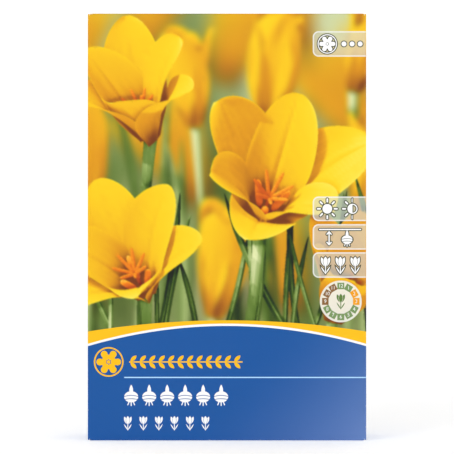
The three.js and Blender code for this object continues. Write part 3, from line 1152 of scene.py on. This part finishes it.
def put_planting(sheet, s, v):
    """A planting picture on the back: corms in the ground, with their blossoms over them and a ruler."""
    x = s - BACK_MIDDLE
    field = slab(x + 18, v - 115, 37, 42, 2.5)
    sheet.fill(mixed(HAZE, SKY, between(v, 108, 150)), field)
    over = v - (maths("SINE", x * 0.21) * 0.9 + 108)
    tufts = [pointed(repeated(x, 2.3), over - 0.4, 0.5, 2.2, 0.2)]
    tufts += [pointed(repeated(x + 1, 3.1), over - 0.2, 0.5, 2.9, -0.25)]
    sheet.fill(LEAF_GREEN, field, least(*tufts))
    sheet.fill(EARTH, field, over)
    sheet.fill(DEEP_EARTH, field, over, strength=between(v, 104, 80) * 0.75)
    spot = add_node(s.socket.id_data, "CombineXYZ", {"X": s, "Y": v}).outputs[0]
    lumps = [grain(spot, scale, 1) for scale in (0.9, 0.5)]
    pebbles = between(lumps[0], 0.66, 0.70) * 0.5 - between(lumps[1], 0.38, 0.33) * 0.4
    sheet.fill(PEBBLE, field, over + 0.8, strength=most(pebbles, 0))
    sheet.fill(CLOD, field, over + 0.8, strength=most(-pebbles, 0))
    for place in (-41, -18, 5):
        u, w = x - place, v - 90
        sheet.fill(CORM, drawn(corm_drawing, u, w, 6.2))
        stem = stroke(u, w, (0, 7), (0, 36), 0.9)
        sheet.fill(LEAF_GREEN, least(stem, pointed(abs(u) - 4.4, w - 27, 1.1, 12.5, -0.34)))
        middle = pointed(u, w - 45, 4.2, 9.6)
        side = pointed(abs(u) - 5.0, w - 44.4, 3.4, 9.2, -0.36)
        sheet.fill(SUN_YELLOW, least(middle, most(side, 0.6 - middle)))
    ticks = most(abs(repeated(v - 84, 4.8)) - 0.2, abs(x + 57.2) - 1.2, abs(v - 96) - 12.3)
    sheet.fill(DEEP_BLUE, least(stroke(x, v, (-58.4, 84), (-58.4, 108), 0.3), ticks))


def put_back_signs(sheet, s, v):
    """Beside the planting picture: a wheel of months, and drawings of sun, water and blossoms."""
    middle, height, radius = BACK_DIAL
    x = s - BACK_MIDDLE
    put_dial(sheet, x - middle, v - height, radius)
    sheet.fill(DEEP_BLUE, abs(slab(x - middle, v - 94.5, 14, 21.5, 2.5)) - 0.25)
    sheet.fill(SUN_YELLOW, drawn(sun_drawing, x - 35, v - 107, 5))
    sheet.fill(WATER_BLUE, drawn(drop_drawing, x - 48, v - 106.4, 4))
    sheet.fill(LEAF_GREEN, row_of(blossom_drawing, x, v - 90, 2.9, 33.4, 8.1, 3))
    sheet.fill(DEEP_BLUE, abs(v - 78.5) - 0.25, abs(x - middle) - 11)


def put_band(sheet, s, v):
    """The blue field round the carton's foot, with a white line and a yellow stripe along its edge.

    Its edge is an arch on the front and sweeps up round the sides.
    """
    past = most(abs(s) - HALF_WIDTH, 0)
    over = v - least(51 - s * s * 0.00234 + past * past * 0.0357, 60)
    stripe = 1.5 + 4 * least(maths("POWER", abs(s) / HALF_WIDTH, 2), 1)
    sheet.fill(SUN_YELLOW, over - 1 - stripe)
    sheet.fill(WHITE, over - 1)
    glow = between(s - v * 0.9, -24, 58)
    glow = glow * glow * between(s, BACK_MIDDLE, SIDE_START)
    sheet.fill(mixed(DEEP_BLUE, LAVENDER, glow), over)


def put_vent_rings(sheet, s, v):
    """On the back's blue field: a fine ring round each rosette of holes, a yellow rim on each hole."""
    rim = ROSETTE_VENT_RADIUS + 0.8
    for centre in ROSETTE_CENTRES:
        x, y = s - BACK_MIDDLE + centre, v - ROSETTE_HEIGHT
        sheet.fill(WHITE, abs(disc(x, y, ROSETTE_RING_RADIUS + ROSETTE_VENT_RADIUS + 2.2)) - 0.25)
        u, w = ring_of(y, -x, 6)
        sheet.fill(SUN_YELLOW, least(disc(u - ROSETTE_RING_RADIUS, w, rim), disc(x, y, rim)))


def put_front_signs(sheet, s, v):
    """On the blue field: an emblem, a twig, a rule and two rows of small drawings."""
    sheet.fill(SUN_YELLOW, drawn(rosette_drawing, s + 52.6, v - 35, 6.6))
    sheet.fill(SUN_YELLOW, twig(s, v - 35, -43.5, 6.9))
    sheet.fill(PALE_BLUE, abs(v - 28.1) - 0.25, TEXT_START - s, s - SIDE_END)
    sheet.fill(WHITE, row_of(corm_drawing, s, v - 19.5, 3.1, TEXT_START + 3.1, 8, 6))
    sheet.fill(WHITE, row_of(blossom_drawing, s, v - 7.8, 1.8, TEXT_START + 1.6, 6.9, 6))


def section(draw):
    """A node group with one part of the print, laid over the colour that it is given."""
    group = bpy.data.node_groups.new(draw.__name__, "ShaderNodeTree")
    for name, kind in (("Colour", "Color"), ("S", "Float"), ("V", "Float")):
        group.interface.new_socket(name, in_out="INPUT", socket_type="NodeSocket" + kind)
    group.interface.new_socket("Colour", in_out="OUTPUT", socket_type="NodeSocketColor")
    given = group.nodes.new("NodeGroupInput").outputs
    sheet = Print(given["Colour"])
    draw(sheet, Number(given["S"]), Number(given["V"]))
    feed(group.nodes.new("NodeGroupOutput"), {"Colour": sheet})
    return group


SECTIONS = [
    put_tags, put_front_dial, put_back_field, put_planting, put_back_signs,
    put_band, put_vent_rings, put_front_signs,
]


def printed_board():
    """Varnished board with the picture and the inks, a little cracked along its creases."""
    material, shader = new_material("printed_board", 0.35, 0.25)
    tree = material.node_tree
    split = add_node(tree, "SeparateXYZ", {0: attribute(tree, "sheet", "Vector")})
    s, v = Number(split.outputs["X"]), Number(split.outputs["Y"])
    sheet = Print(attribute(tree, "picture", "Color"))
    for draw in SECTIONS:
        node = add_node(tree, "Group", node_tree=section(draw))
        feed(node, {"Colour": sheet, "S": s, "V": v})
        sheet.socket = node.outputs["Colour"]
    crease = least(
        abs(abs(s) - (FRONT_EDGE + FOLD_LENGTH / 2)),
        abs(s - (BACK_START - FOLD_LENGTH / 2)),
        abs(s - (LEFT_END - FOLD_LENGTH / 2)),
        abs(abs(v - MID_HEIGHT) - (MID_HEIGHT - FOLD_RADIUS + FOLD_LENGTH / 2)),
    )
    body = own_place(tree)
    corner = between(abs(v - MID_HEIGHT), MID_HEIGHT - 30, MID_HEIGHT)
    worn = grain(body, 420, 3) + grain(body, 45, 1) * 0.5 - crease * 0.7
    cracked = between(worn + corner * 0.04, 0.92, 0.96)
    sheet.put(linear(236, 233, 224), cracked * 0.8)
    dullness = maths("MULTIPLY_ADD", grain(body, 30, 4), 0.22, 0.24) + cracked * 0.3
    feed(shader, {"Base Color": sheet, "Roughness": dullness})
    fibres = grain(body, 1500, 3) * 0.25 + grain(body, 110, 2)
    raised(shader, fibres - cracked * 0.3, 0.35, 0.05)
    return material


def bare_board(name, dark, light, across):
    """Unprinted board: pressed fibres, with darker specks. across is its scale on each axis."""
    material, shader = new_material(name, 0.88, 0.2)
    body = own_place(material.node_tree)
    along_fibres = stretched(body, across)
    fibres = grain(along_fibres, 700, 4)
    cloudy = maths("MULTIPLY_ADD", grain(body, 90, 2) - 0.5, 0.4, fibres)
    sheet = Print(ramp(cloudy, [(0.34, dark), (0.66, light)]))
    specks = between(grain(along_fibres, 1100, 1), 0.70, 0.74)
    sheet.put(linear(120, 100, 78), specks * 0.7)
    feed(shader, {"Base Color": sheet})
    raised(shader, fibres, 0.6, 0.08)
    return material


# ---------------------------------- the corms

CORM_COUNT = 12
CORM_SEED = 100
TIP_REACH = 1.02  # from a corm's middle to the tip of its shoot, in radii
FIBRE_DEPTH = 0.022  # of the grooves between the tunic's fibres, in radii
COLLAR_STRANDS = 18


def finished(thing):
    """The points and polygons of an object as its modifiers leave it. The object itself goes."""
    view = bpy.context.evaluated_depsgraph_get()
    mesh = bpy.data.meshes.new_from_object(thing.evaluated_get(view))
    points = np.array([vertex.co for vertex in mesh.vertices])
    polygons = [tuple(polygon.vertices) for polygon in mesh.polygons]
    bpy.data.objects.remove(thing)
    bpy.data.meshes.remove(mesh)
    return points, polygons


def rounded_copy(node):
    """A finer copy of a CAD node's mesh, with its facets rounded."""
    work = bmesh.new()
    work.from_mesh(frame["nodes"][node].data)
    bmesh.ops.remove_doubles(work, verts=work.verts, dist=0.001 * MM)
    limits = {"angle_face_threshold": math.radians(40), "angle_shape_threshold": math.pi}
    bmesh.ops.join_triangles(work, faces=work.faces, **limits)
    mesh = bpy.data.meshes.new(node + "_rough")
    work.to_mesh(mesh)
    work.free()
    rough = put_in_scene(node + "_rough", mesh)
    rounding = rough.modifiers.new("rounding", "SUBSURF")
    rounding.levels = rounding.render_levels = 2
    return finished(rough)


def collar(rng, axes, middle, radius):
    """Loose ends of the tunic's fibres, which stand up round the shoot."""
    points, faces = [], []
    across, front, up = axes
    for i in range(COLLAR_STRANDS):
        angle = 2 * math.pi * (i + rng.uniform(-0.3, 0.3)) / COLLAR_STRANDS
        outward = math.cos(angle) * across + math.sin(angle) * front
        sideways = math.cos(angle) * front - math.sin(angle) * across
        lean, half = rng.uniform(-0.10, 0.08), rng.uniform(0.014, 0.03)
        strand = ring_faces(4, 3) + [(0, 1, 2), (11, 10, 9)]
        faces += [tuple(k + len(points) for k in face) for face in strand]
        steps = [(0.33, 0.58, 1), (0.27, 0.68, 0.8)]  # out, up and width, in radii
        steps += [(0.24 + lean / 2, 0.76, 0.5), (0.23 + lean, 0.86, 0.12)]
        for out, rise, width in steps:
            sides = half * width * np.array([sideways, -sideways, 0.5 * outward])
            points += list(middle + radius * (out * outward + rise * up + sides))
    return points, faces


def make_corm(number, material):
    """One corm: a fibrous tunic with grooves along it, a frayed collar and the tip of a shoot."""
    node = f"corm_{number:02d}"
    rng = np.random.default_rng(CORM_SEED + number)
    body, faces = rounded_copy(node)
    lowest, highest = (np.array(corner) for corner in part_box(node))
    middle = (lowest + highest) / 2 * (1, 0, 1)
    tip = body[np.argmax(np.abs(body[:, 1]))]
    radius = np.linalg.norm(tip - middle) / TIP_REACH
    axes = axes_along(tip - middle).astype(float)
    x, y, h = ((body - middle) @ axes.T / radius).T
    out, angle = np.hypot(x, y), np.arctan2(y, x)
    drift = 0.5 * np.sin(2.3 * h + rng.uniform(0, 6)) + 0.3 * np.sin(3 * angle + rng.uniform(0, 6))
    ridges = np.sin(19 * angle + 2 * drift) + 0.6 * np.sin(31 * angle - 3 * drift + 1)
    depth = FIBRE_DEPTH * np.clip(0.5 - ridges / 3.2, 0, 1) * np.clip((out - 0.25) / 0.3, 0, 1)
    body -= radius * (depth / np.maximum(out, 0.01) * (x, y)).T @ axes[:2]
    strands, strand_faces = collar(rng, axes, middle, radius)
    faces += [tuple(i + len(body) for i in face) for face in strand_faces]
    points = np.concatenate([body, strands])
    x, y, h = ((points - middle) @ axes.T / radius).T
    mesh = new_mesh(node + "_grown", points.tolist(), faces, material)
    mesh.shade_smooth()
    out = np.maximum(np.hypot(x, y), 0.15)
    place = np.stack([x / out + 3 * number, y / out, h], axis=1)
    add_layer(mesh, "tunic", "FLOAT_VECTOR", "vector", place)
    shoot = np.clip((h - 0.68) / 0.08, 0, 1) * (np.arange(len(points)) < len(body))
    add_layer(mesh, "shoot", "FLOAT", "value", shoot)
    dress(node + "_grown", mesh, node)


TUNIC_COLOURS = [
    (0.30, linear(74, 44, 24)),
    (0.44, linear(132, 86, 48)),
    (0.56, linear(172, 122, 72)),
    (0.70, linear(208, 166, 112)),
]


def tunic_fibres():
    """Dry brown fibres along the corm, pale at the shoot."""
    material, shader = new_material("tunic_fibres", 0.72, 0.5)
    place = attribute(material.node_tree, "tunic", "Vector")
    fibres = grain(stretched(place, (1, 1, 0.09)), 17, 4)
    mottled = maths("MULTIPLY_ADD", grain(place, 3, 2) - 0.5, 0.5, fibres)
    sheet = Print(ramp(mottled, TUNIC_COLOURS))
    sheet.put(linear(232, 222, 176), Number(attribute(material.node_tree, "shoot", "Fac")))
    feed(shader, {"Base Color": sheet})
    raised(shader, fibres, 0.6, 0.25)
    return material


# ---------------------------------- the carton's mesh and its numbers

INK_THICKNESS = 0.015
NUMBER_HEIGHT = 0.17  # of a dial's radius
SHARP_EDGE = 50  # degrees, from which an edge of the board isn't shaded round


def make_carton(picture):
    points, faces, kinds, places, outer = folded_board(picture_points(picture))
    inside = bare_board("board_inside", linear(158, 146, 124), linear(206, 198, 180), (1, 1, 0.35))
    edge = bare_board("board_edge", linear(206, 196, 176), linear(240, 236, 226), (0.3, 1, 0.3))
    mesh = new_mesh("folded_carton", (points * MM).tolist(), faces, printed_board(), inside, edge)
    mesh.polygons.foreach_set("material_index", np.array(kinds, np.int32))
    mesh.shade_smooth()
    mesh.set_sharp_from_angle(angle=math.radians(SHARP_EDGE))
    add_layer(mesh, "sheet", "FLOAT_VECTOR", "vector", np.pad(places, ((0, 0), (0, 1))))
    colours = np.ones((len(points), 4))
    colours[:outer, :3] = sampled(picture, places[:outer])
    add_layer(mesh, "picture", "FLOAT_COLOR", "color", colours)
    dress("folded_carton", mesh, "carton")


def make_dial_numbers():
    """Plain numbers on the months of both dials, as a film of white ink on the board."""
    points, faces = [], []
    for number in range(1, 13):
        text = bpy.data.curves.new("number", "FONT")
        text.body, text.size, text.space_character = str(number), 1.45, 0.9
        text.align_x, text.align_y = "CENTER", "CENTER"
        text.resolution_u, text.extrude = 3, INK_THICKNESS
        shape, polygons = finished(put_in_scene("number", text))
        angle = QUARTER_TURN - number * math.pi / 6
        turned = np.array([math.cos(angle), math.sin(angle)])
        for (x, height, radius), towards in ((FRONT_DIAL, 1), (BACK_DIAL, -1)):
            flat = (x, height) + radius * (DIAL_RING * turned + NUMBER_HEIGHT * shape[:, :2])
            board = np.insert(flat * (towards, 1), 1, -HALF_DEPTH * towards, axis=1)
            placed = sunk_in(board)
            placed[:, 1] -= (shape[:, 2] + 0.5 * INK_THICKNESS) * towards
            faces += [tuple(i + len(points) for i in polygon) for polygon in polygons]
            points += (placed * MM).tolist()
    ink = bare_board("number_ink", linear(240, 240, 232), linear(255, 255, 250), (1, 1, 1))
    dress("dial_numbers", new_mesh("dial_numbers", points, faces, ink), None)


make_dial_numbers()
make_carton(painted_picture())

tunic = tunic_fibres()
for number in range(1, CORM_COUNT + 1):
    make_corm(number, tunic)
